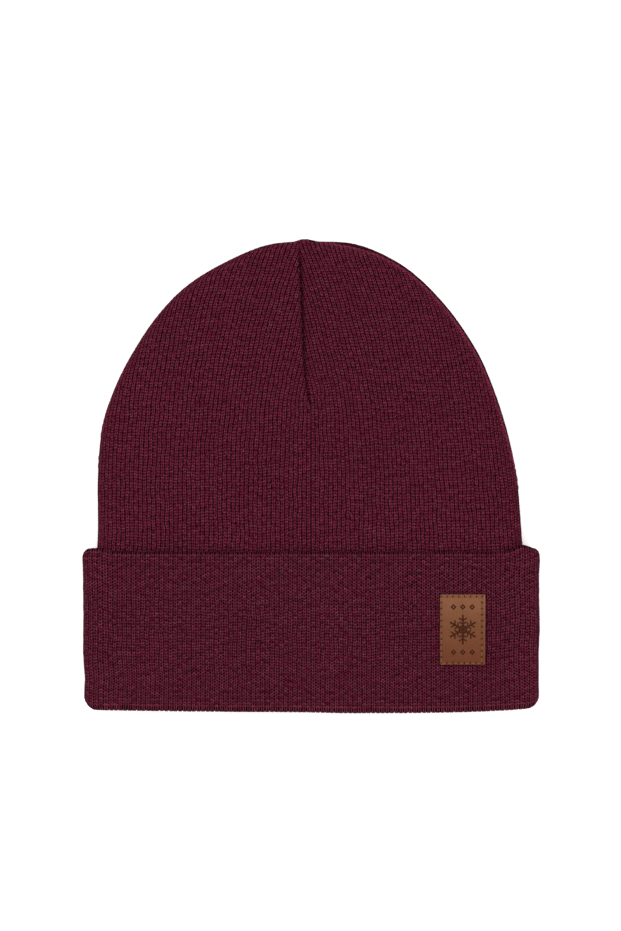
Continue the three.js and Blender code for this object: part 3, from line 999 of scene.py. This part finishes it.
# The knit of the crown and of the cuff, whose stitches stand upside down: the colours of yarn in
# painted light and of yarn between in painted shade, the level of the side folds, how far a stitch's
# legs rise from its middle, how strong the painted shade of the lines in the valleys and along the
# wales' middles is, how strong the painted shade of the holes in the middles is beside that of those
# in the valleys, and the painted shade along the side folds.
KNITS = {
    "crown_knit": {"lit": srgb(128, 48, 72), "between": srgb(38, 2, 13), "level": LOFT["fold"][3],
                   "rise": LEG_RISE, "valley": 0.3, "centre": 0.0, "centre_hole_shade": 0.3, "rim": 0.8},
    "cuff_knit": {"lit": srgb(125, 49, 71), "between": srgb(34, 2, 12), "level": LOFT["fold"][0],
                  "rise": -LEG_RISE, "valley": 0.08, "centre": 0.05, "centre_hole_shade": 0.6, "rim": 0.4},
}


def knit_material(name):
    """1x1 rib, coloured stitch by stitch with painted light and shade: the Knit layer counts wales
    across and courses up, with a valley at each whole wale and a crease between stitches at each whole
    course. Painted shade marks the holes between the stitches, where creases cross the valleys and the
    wales' middles."""
    look = KNITS[name]
    n = Nodes(name)
    across, up = n.uv("Knit")
    place = n.place()

    # Where in its stitch a point lies.
    own = n.cell_noise(n.math("FLOOR", across), n.math("FLOOR", up))
    beside = n.cell_noise(n.math("ROUND", n.times(across, 2.0)), n.math("ROUND", up))
    up = n.scaled(n.math("SUBTRACT", own, 0.5), CREASE_SPAN, up)
    leg = n.math("ABSOLUTE", n.scaled(n.math("FRACT", across), 2.0, -1.0))
    crest = n.wave(n.scaled(leg, look["rise"], up))
    crease = n.ramp(n.wave(up), *BAND["crease"], 1.0, 0.0)
    valley = n.ramp(leg, *BAND["valley"])
    centre = n.ramp(leg, *BAND["centre"], 1.0, 0.0)

    # Painted shade in the holes and as lines along the valleys, which the smoothed stitches of a fold lose.
    run = n.new("ShaderNodeCombineXYZ", X=n.times(n.math("ROUND", across), RUN_CELLS["across"]),
                Y=n.times(up, RUN_CELLS["up"]))
    uneven = n.over_noise(n.noise(run.outputs[0], "run"), 0.0, 1.0)
    crossing = n.times(n.most(valley, n.times(centre, look["centre_hole_shade"])), crease)
    hole = n.times(crossing, n.scaled(beside, *PAINTED_HOLES["stitch"]))
    hole = n.times(hole, n.scaled(uneven, *PAINTED_HOLES["run"]), clamp=True)
    line = n.most(n.times(valley, look["valley"]), n.times(centre, look["centre"]))
    hole = n.most(hole, n.times(line, n.times(uneven, PAINTED_HOLES["line"]), clamp=True))
    # roll gives smoother stitches, with fewer painted holes, and a painted highlight on ridges and folds.
    roll = n.attribute("roll")
    hole = n.times(hole, n.scaled(roll, -1.0, 1.0))

    # Light on the legs' yarn and on the crests.
    beside_yarn = n.math("ABSOLUTE", n.scaled(leg, YARN_STEEPNESS, -YARN_STEEPNESS / 2))
    yarn = n.math("SUBTRACT", 1.0, beside_yarn, clamp=True)
    lit = n.times(yarn, n.scaled(crest, *LIGHT["yarn"]))
    lit = n.most(lit, n.times(crest, LIGHT["crest"]))
    lit = n.times(lit, n.scaled(own, *LIGHT["stitch"]))

    # Painted light on the yarn, raised on smoothed ridges and folds, mixes the colour in painted shade
    # towards the lit one.
    tone = n.mix(n.scaled(roll, LIGHT["roll"], lit), look["between"], look["lit"])
    # Painted shade in the creases below the crests.
    tone = n.mix(n.ramp(crest, *BAND["lower"], PAINTED_SHADE["crease"], 0.0), tone, SHADE_BLACK)
    # Painted shade in the holes and along the valley lines.
    tone = n.mix(hole, tone, SHADE_BLACK)
    # Painted shade along the side folds, and from the seam attribute along the seams and the cuff's upper
    # edge.
    height = n.new("ShaderNodeSeparateXYZ", Vector=place).outputs["Z"]
    off_level = n.math("ABSOLUTE", n.math("SUBTRACT", height, look["level"] * MM))
    rim = n.ramp(off_level, 0.0, RIM_WIDTH * MM, look["rim"], 0.0)
    tone = n.mix(n.times(n.most(n.attribute("seam"), rim), PAINTED_SHADE["seam"]), tone, SHADE_BLACK)
    cloud, fibre, fleck = (n.noise(place, kind) for kind in ("cloud", "fibre", "fleck"))
    shade = n.times(n.over_noise(cloud, *YARN_TONE["cloud"]), n.over_noise(fibre, *YARN_TONE["fibre"]))
    green, blue = (n.times(shade, n.over_noise(fleck, *YARN_TONE[part])) for part in ("green", "blue"))
    n.surface(Base_Color=n.shaded(tone, shade, green, blue), Roughness=n.ramp(fibre, *YARN_ROUGH),
              Specular_IOR_Level=0.01, **SHEEN,
              Normal=n.bump(n.scaled(fibre, YARN_BUMP["fibre"], lit), YARN_BUMP["distance"]))
    return n.material


# ---- leather label ------------------------------------------------------------------------------

LABEL = {"width": 21.25, "height": 32.8, "taper": 0.25, "thickness": 1.2, "corner": 0.55, "bevel": 0.3}
LABEL_LEFT = -LABEL["width"] / 2
LABEL_HEAD = LABEL["height"] / 2
LABEL_CENTRE = (71.05, 39.4)
LABEL_STEP = 0.15  # spacing of the label's mesh
# The last entry is the share of the burnt colour painted into the stitch holes as shade.
HOLE = {"pitch": 2.8, "radius": 0.45, "depth": 0.55, "hole_shade": 0.9}
# A thread lies proud of its groove by a share of its radius. It runs from one share to another of the
# way between two holes, and sags and thins towards both. A higher power keeps that nearer to them.
THREAD = {"radius": 0.24, "sides": 8, "rings": 10, "proud": 0.4, "from": 0.1, "to": 0.9,
          "sag": 0.34, "sag_power": 2.5, "thin": 0.3, "thin_power": 3}
STITCH_LINE = {"left": 0.5, "right": 1.5, "top": 0.9, "bottom": 0.7}  # in from each edge
STITCH_GROOVE = {"width": 0.55, "depth": 0.12}
# The burnt design: a six-armed snow crystal between two rows of small diamonds.
# A line is the half width of an arm; a side branch's is a share of that.
CRYSTAL = {"arm": 6.6, "line": 0.42, "branch_line": 0.8, "ring": 1.7}
CRYSTAL_BRANCHES = [(2.6, 1.7), (4.3, 1.9)]  # distance along an arm and length of each side branch
DIAMONDS = {"rise": 10.6, "spacing": 4.4, "size": 1.4, "inner": 0.5}
BURN = {"depth": 0.2, "edge": 0.22}
LEATHER_RELIEF = ((21, 0.9, 0.03), (22, 4.0, 0.04))  # seed, size and height of grain and of swells
# How far the wear reaches in from the foot's left corner and from the edges, and how strong it is there.
WEAR = {"corner": 1.2, "edge": 0.35, "edge_share": 0.3}


def label_place(points):
    """Puts label millimetres, with z up from its underside, on its seat on the cuff."""
    across = LABEL_CENTRE[0] / CUFF_BASE
    front, swell = LOFT["front"][0], LOFT["swell"][0]
    seat = front + swell * (1 - across**2) + CUFF_FACE + GAP
    angle = math.atan(2 * swell * across / CUFF_BASE)
    x, y, z = points[..., 0], points[..., 1], points[..., 2]
    return np.stack([
        LABEL_CENTRE[0] + x * math.cos(angle) + z * math.sin(angle),
        LABEL_CENTRE[1] + y,
        seat - x * math.sin(angle) + z * math.cos(angle),
    ], -1)


def label_right(y):
    """How far right of its centre the label ends, as it narrows towards its foot."""
    return LABEL["width"] / 2 - LABEL["taper"] * (0.5 - y / LABEL["height"])


def rounded(x, y):
    """Moves the points of a slightly tapered rectangle so that its corners are round."""
    r = LABEL["corner"]
    right = label_right(y)
    side = np.where(x > 0, right - r, LABEL_LEFT + r)
    foot = np.sign(y) * (LABEL_HEAD - r)
    s, t = (x - side) / r, (y - foot) / r
    in_corner = (s * np.sign(x) > 0) & (t * np.sign(y) > 0)
    s_round, t_round = s * np.sqrt(1 - t**2 / 2 * in_corner), t * np.sqrt(1 - s**2 / 2 * in_corner)
    return np.where(in_corner, side + s_round * r, x), np.where(in_corner, foot + t_round * r, y)


def segment_distance(x, y, start, end):
    """Distance of each point to the straight line between two places."""
    a, b = np.array(start, float), np.array(end, float)
    d = b - a
    share = np.clip(((x - a[0]) * d[0] + (y - a[1]) * d[1]) / (d @ d), 0, 1)
    return np.hypot(x - a[0] - share * d[0], y - a[1] - share * d[1])


def burn_map(x, y):
    """Share, from 0 to 1, to which the label is burnt at each point."""
    away = np.abs(np.hypot(x, y) - CRYSTAL["ring"]) - CRYSTAL["line"]
    for k in range(6):
        turn = k * math.pi / 3
        arm = np.array([math.sin(turn), math.cos(turn)])
        away = np.minimum(away, segment_distance(x, y, (0, 0), arm * CRYSTAL["arm"]) - CRYSTAL["line"])
        for along, length in CRYSTAL_BRANCHES:
            for lean in (-math.pi / 3, math.pi / 3):
                tip = arm * along + length * np.array([math.sin(turn + lean), math.cos(turn + lean)])
                branch = segment_distance(x, y, arm * along, tip)
                away = np.minimum(away, branch - CRYSTAL["line"] * CRYSTAL["branch_line"])
    for row in (-1, 1):
        for column in (-1, 0, 1):
            out = np.abs(x - column * DIAMONDS["spacing"]) + np.abs(y - row * DIAMONDS["rise"])
            diamond = np.maximum(out - DIAMONDS["size"], DIAMONDS["inner"] - out) / math.sqrt(2)
            away = np.minimum(away, diamond)
    return 1 - smooth(away / BURN["edge"] + 0.5)


def stitch_holes():
    """Places of the stitch holes, side by side round the label, one list for each side."""
    foot, head = -LABEL_HEAD + STITCH_LINE["bottom"], LABEL_HEAD - STITCH_LINE["top"]
    left = LABEL_LEFT + STITCH_LINE["left"]
    corners = [(left, foot), (label_right(foot) - STITCH_LINE["right"], foot),
               (label_right(head) - STITCH_LINE["right"], head), (left, head)]
    sides = []
    for start, end in zip(corners, corners[1:] + corners[:1]):
        start, end = np.array(start), np.array(end)
        count = round(np.linalg.norm(end - start) / HOLE["pitch"])
        sides.append([start + (end - start) * k / count for k in range(count + 1)])
    return sides


def label_relief(x, y):
    """Height of the label's face above its underside, its burn together with painted shade in the stitch
    holes, and its wear.
    """
    burn = burn_map(x, y)
    edge = np.minimum(np.minimum(x - LABEL_LEFT, label_right(y) - x), LABEL_HEAD - np.abs(y))
    bevel = LABEL["bevel"] * (1 - np.sqrt(1 - np.clip(1 - edge / LABEL["bevel"], 0, 1) ** 2))
    height = LABEL["thickness"] - bevel - BURN["depth"] * burn
    hole = np.full(x.shape, FAR)
    groove = np.full(x.shape, FAR)
    for side in stitch_holes():
        groove = np.minimum(groove, segment_distance(x, y, side[0], side[-1]))
        for place in side:
            hole = np.minimum(hole, np.hypot(x - place[0], y - place[1]))
    pierced = bell(hole, HOLE["radius"])
    height -= STITCH_GROOVE["depth"] * bell(groove, STITCH_GROOVE["width"])
    height -= HOLE["depth"] * pierced
    height += sum(rise * noise(seed, x / size, y / size) for seed, size, rise in LEATHER_RELIEF)
    corner = np.hypot(x - LABEL_LEFT, y + LABEL_HEAD)
    worn = np.clip(bell(corner, WEAR["corner"]) + WEAR["edge_share"] * bell(edge, WEAR["edge"]), 0, 1)
    return np.minimum(height, LABEL["thickness"]), np.maximum(burn, HOLE["hole_shade"] * pierced), worn


def label_leather(material):
    """The leather patch: a closed slab whose face is bevelled, stitched down and burnt."""
    columns = round(LABEL["width"] / LABEL_STEP) + 1
    rows = round(LABEL["height"] / LABEL_STEP) + 1
    y = across_columns(np.linspace(-LABEL_HEAD, LABEL_HEAD, rows), columns)
    x = LABEL_LEFT + (label_right(y) - LABEL_LEFT) * np.linspace(0, 1, columns)
    height, burn, worn = label_relief(x, y)
    x_round, y_round = rounded(x, y)
    face = np.stack([x_round, y_round, height], -1).reshape(-1, 3)
    index = np.arange(rows * columns).reshape(rows, columns)
    rim = np.concatenate([index[0, :-1], index[:-1, -1], index[-1, :0:-1], index[:0:-1, 0]])
    under = face[rim].copy()
    under[:, 2] = 0
    below = len(face) + np.arange(len(rim))
    walls = np.stack([rim, below, np.roll(below, -1), np.roll(rim, -1)], -1)
    faces = grid_faces(rows, columns).tolist() + walls.tolist() + [below[::-1].tolist()]
    points = label_place(np.concatenate([face, under]))
    flat = np.concatenate([face, under])[:, :2]
    spread = np.stack([flat[:, 0] / LABEL["width"] + 0.5, flat[:, 1] / LABEL["height"] + 0.5], -1)
    # The burn mark also carries the painted shade in the stitch holes.
    marks = {
        "burn": np.concatenate([burn.ravel(), np.zeros(len(rim))]),
        "worn": np.concatenate([worn.ravel(), worn.ravel()[rim]]),
    }
    layers = {"Leather": spread, "OFBake": spread}
    obj = make_mesh("label_leather", points, faces, uvs=layers, attributes=marks)
    return piece(obj, material, "patch_leather", "label_patch")


def label_thread(material):
    """Threads that span from hole to hole and dip into both."""
    level = LABEL["thickness"] - STITCH_GROOVE["depth"] + THREAD["radius"] * THREAD["proud"]
    turns = np.linspace(0, 2 * math.pi, THREAD["sides"], endpoint=False)
    tubes, faces = [], []
    for side in stitch_holes():
        for start, end in zip(side, side[1:]):
            along = (end - start) / np.linalg.norm(end - start)
            beside = np.array([along[1], -along[0]])
            share = np.linspace(THREAD["from"], THREAD["to"], THREAD["rings"])
            off_middle = np.abs(2 * share - 1)
            dip = THREAD["sag"] * off_middle ** THREAD["sag_power"]
            centre = start + (end - start) * share[:, None]
            radius = THREAD["radius"] * (1 - THREAD["thin"] * off_middle ** THREAD["thin_power"])
            out = radius[:, None] * np.cos(turns)
            rise = radius[:, None] * np.sin(turns)
            flat = centre[:, None, :] + beside * out[..., None]
            tube = np.concatenate([flat, (level - dip)[:, None, None] + rise[..., None]], -1)
            first = sum(len(points) for points in tubes)
            tubes.append(tube.reshape(-1, 3))
            faces += (grid_faces(THREAD["rings"], THREAD["sides"], wrap=True) + first).tolist()
            ends = first + np.arange(THREAD["sides"])
            faces += [ends[::-1].tolist(), (ends + (THREAD["rings"] - 1) * THREAD["sides"]).tolist()]
    obj = make_mesh("label_thread", label_place(np.concatenate(tubes)), faces)
    return piece(obj, material, "patch_leather", "label_patch")


LEATHER = {
    "head": srgb(118, 76, 52),
    "middle": srgb(103, 61, 38),
    "foot": srgb(94, 50, 30),
    "worn": srgb(150, 106, 74),
    "burnt": srgb(48, 18, 8),
    "burnt_light": srgb(62, 30, 18),
}
LEATHER_MIDDLE = 0.45  # share of the label's height where it has the middle colour
HIDE_SPREAD = (0.5, -0.25)  # how far the hide's noise moves that: a factor and what is added to it
WORN_SHARE = (0.3, 0.6, 0.4, 1.0)  # from and to values of the hide's noise, least and most wear
# Shade and roughness of the leather: from and to values of a noise, least and most of what they give.
LEATHER_SHADE = {"grain": (0.25, 0.75, 0.9, 1.08), "pore": (0.0, 1.0, 0.88, 1.03)}
LEATHER_ROUGH = {"hide": (0.5, 0.66), "burn": 0.2}
PORES = {"scale": 1700.0, "reach": 0.5}
LEATHER_BUMP = {"grain": 0.6, "distance": 0.00008}
THREAD_COLOURS = srgb(90, 52, 31), srgb(148, 97, 62)
TWIST = {"scale": 900.0, "distortion": 1.5, "distance": 0.00006}
THREAD_SHADE = (0.85, 1.1)
PLY_MIDDLE = (0.2, 0.8)


def leather_material():
    """Veg-tanned leather: tan at the head, redder and darker at the foot, with a burnt design."""
    n = Nodes("label_leather")
    up = n.uv("Leather")[1]
    place = n.place()
    hide, grain = n.noise(place, "hide"), n.noise(place, "grain")
    pores = n.new("ShaderNodeTexVoronoi", Vector=place, Scale=PORES["scale"])
    pore = n.ramp(pores.outputs["Distance"], 0.0, PORES["reach"])
    height = n.math("ADD", up, n.scaled(hide, *HIDE_SPREAD))
    tone = n.mix(n.ramp(height, 0.0, LEATHER_MIDDLE), LEATHER["foot"], LEATHER["middle"])
    tone = n.mix(n.ramp(height, LEATHER_MIDDLE, 1.0), tone, LEATHER["head"])
    tone = n.mix(n.times(n.attribute("worn"), n.ramp(hide, *WORN_SHARE)), tone, LEATHER["worn"])
    burnt = n.mix(n.over_noise(grain, 0.0, 1.0), LEATHER["burnt"], LEATHER["burnt_light"])
    # The burn attribute carries the burnt design and painted shade in the stitch holes.
    burn = n.attribute("burn")
    tone = n.mix(burn, tone, burnt)
    shade = n.times(n.ramp(grain, *LEATHER_SHADE["grain"]), n.ramp(pore, *LEATHER_SHADE["pore"]))
    rough = n.scaled(burn, LEATHER_ROUGH["burn"], n.over_noise(hide, *LEATHER_ROUGH["hide"]))
    relief = n.scaled(grain, LEATHER_BUMP["grain"], pore)
    n.surface(Base_Color=n.shaded(tone, shade, shade, shade), Roughness=rough,
              Specular_IOR_Level=0.08, Normal=n.bump(relief, LEATHER_BUMP["distance"]))
    return n.material


def thread_material():
    """Brown thread, twisted."""
    n = Nodes("label_thread")
    place = n.place()
    wave = n.new("ShaderNodeTexWave", Vector=place, Scale=TWIST["scale"], Distortion=TWIST["distortion"])
    twist = wave.outputs["Fac"]
    tone = n.mix(n.ramp(twist, *PLY_MIDDLE), *THREAD_COLOURS)
    shade = n.ramp(n.noise(place, "ply"), *PLY_MIDDLE, *THREAD_SHADE)
    n.surface(Base_Color=n.shaded(tone, shade, shade, shade), Roughness=0.7,
              Specular_IOR_Level=0.1, Normal=n.bump(twist, TWIST["distance"]))
    return n.material


# ---- camera, floor and light --------------------------------------------------------------------

FRAME_MM = 437.57  # height of what the camera sees at the side folds
VIEW_CENTRE = (-0.24, 4.86)
FOLD_LEVEL = 8.0  # height of the side folds above the floor, about
LENS = 300.0
SENSOR = 36.0
CLIP = (0.05, 20)
# The floor is a light table: it glows a little, so that the hat leaves no grey shadow on it.
FLOOR = {"size": 3.0, "colour": (0.93, 0.93, 0.93, 1), "roughness": 0.9, "glow": 0.35}
WHITE = (1, 1, 1, 1)
WORLD_LIGHT = 1.0
# Round lamps that point at the hat: place, size across and power.
LAMPS = {"key": ((-0.9, 1.1, 1.6), 1.1, 14), "fill": ((1.1, -0.6, 1.5), 1.2, 9)}


def add_camera():
    data = bpy.data.cameras.new("camera")
    data.lens = LENS
    data.sensor_width = SENSOR
    data.clip_start, data.clip_end = CLIP
    camera = add_object("camera", data)
    distance = FRAME_MM * LENS / SENSOR
    camera.location = (VIEW_CENTRE[0] * MM, VIEW_CENTRE[1] * MM, (FOLD_LEVEL + distance) * MM)
    bpy.context.scene.camera = camera


def add_floor():
    mesh = bpy.data.meshes.new("floor")
    size = FLOOR["size"]
    corners = [(-size, -size, 0), (size, -size, 0), (size, size, 0), (-size, size, 0)]
    mesh.from_pydata(corners, [], [(0, 1, 2, 3)])
    n = Nodes("floor_paper")
    n.surface(Base_Color=FLOOR["colour"], Roughness=FLOOR["roughness"], Emission_Color=WHITE,
              Emission_Strength=FLOOR["glow"])
    mesh.materials.append(n.material)
    add_object("floor", mesh)


def add_lamp(name, place, size, power):
    data = bpy.data.lights.new(name, "AREA")
    data.shape = "DISK"
    data.size = size
    data.energy = power
    lamp = add_object(name, data)
    lamp.location = place
    lamp.rotation_mode = "QUATERNION"
    lamp.rotation_quaternion = (-Vector(place)).to_track_quat("-Z", "Y")


def add_world():
    world = bpy.data.worlds.new("studio")
    world.use_nodes = True
    background = world.node_tree.nodes["Background"]
    background.inputs["Color"].default_value = WHITE
    background.inputs["Strength"].default_value = WORLD_LIGHT
    bpy.context.scene.world = world


add_camera()
add_floor()
add_world()
for lamp_name, lamp_sizes in LAMPS.items():
    add_lamp(lamp_name, *lamp_sizes)
bpy.context.scene.view_settings.view_transform = "Standard"

CROWN_KNIT, CUFF_KNIT = knit_material("crown_knit"), knit_material("cuff_knit")
for side_name, side_sign in (("left", -1), ("right", 1)):
    crown_quarter(f"crown_front_{side_name}", side_sign, 1, CROWN_KNIT)
    crown_quarter(f"crown_back_{side_name}", side_sign, -1, CROWN_KNIT)
crown_inside(CROWN_KNIT)
cuff_half("cuff_front", 1, CUFF_KNIT)
cuff_half("cuff_back", -1, CUFF_KNIT)
label_leather(leather_material())
label_thread(thread_material())
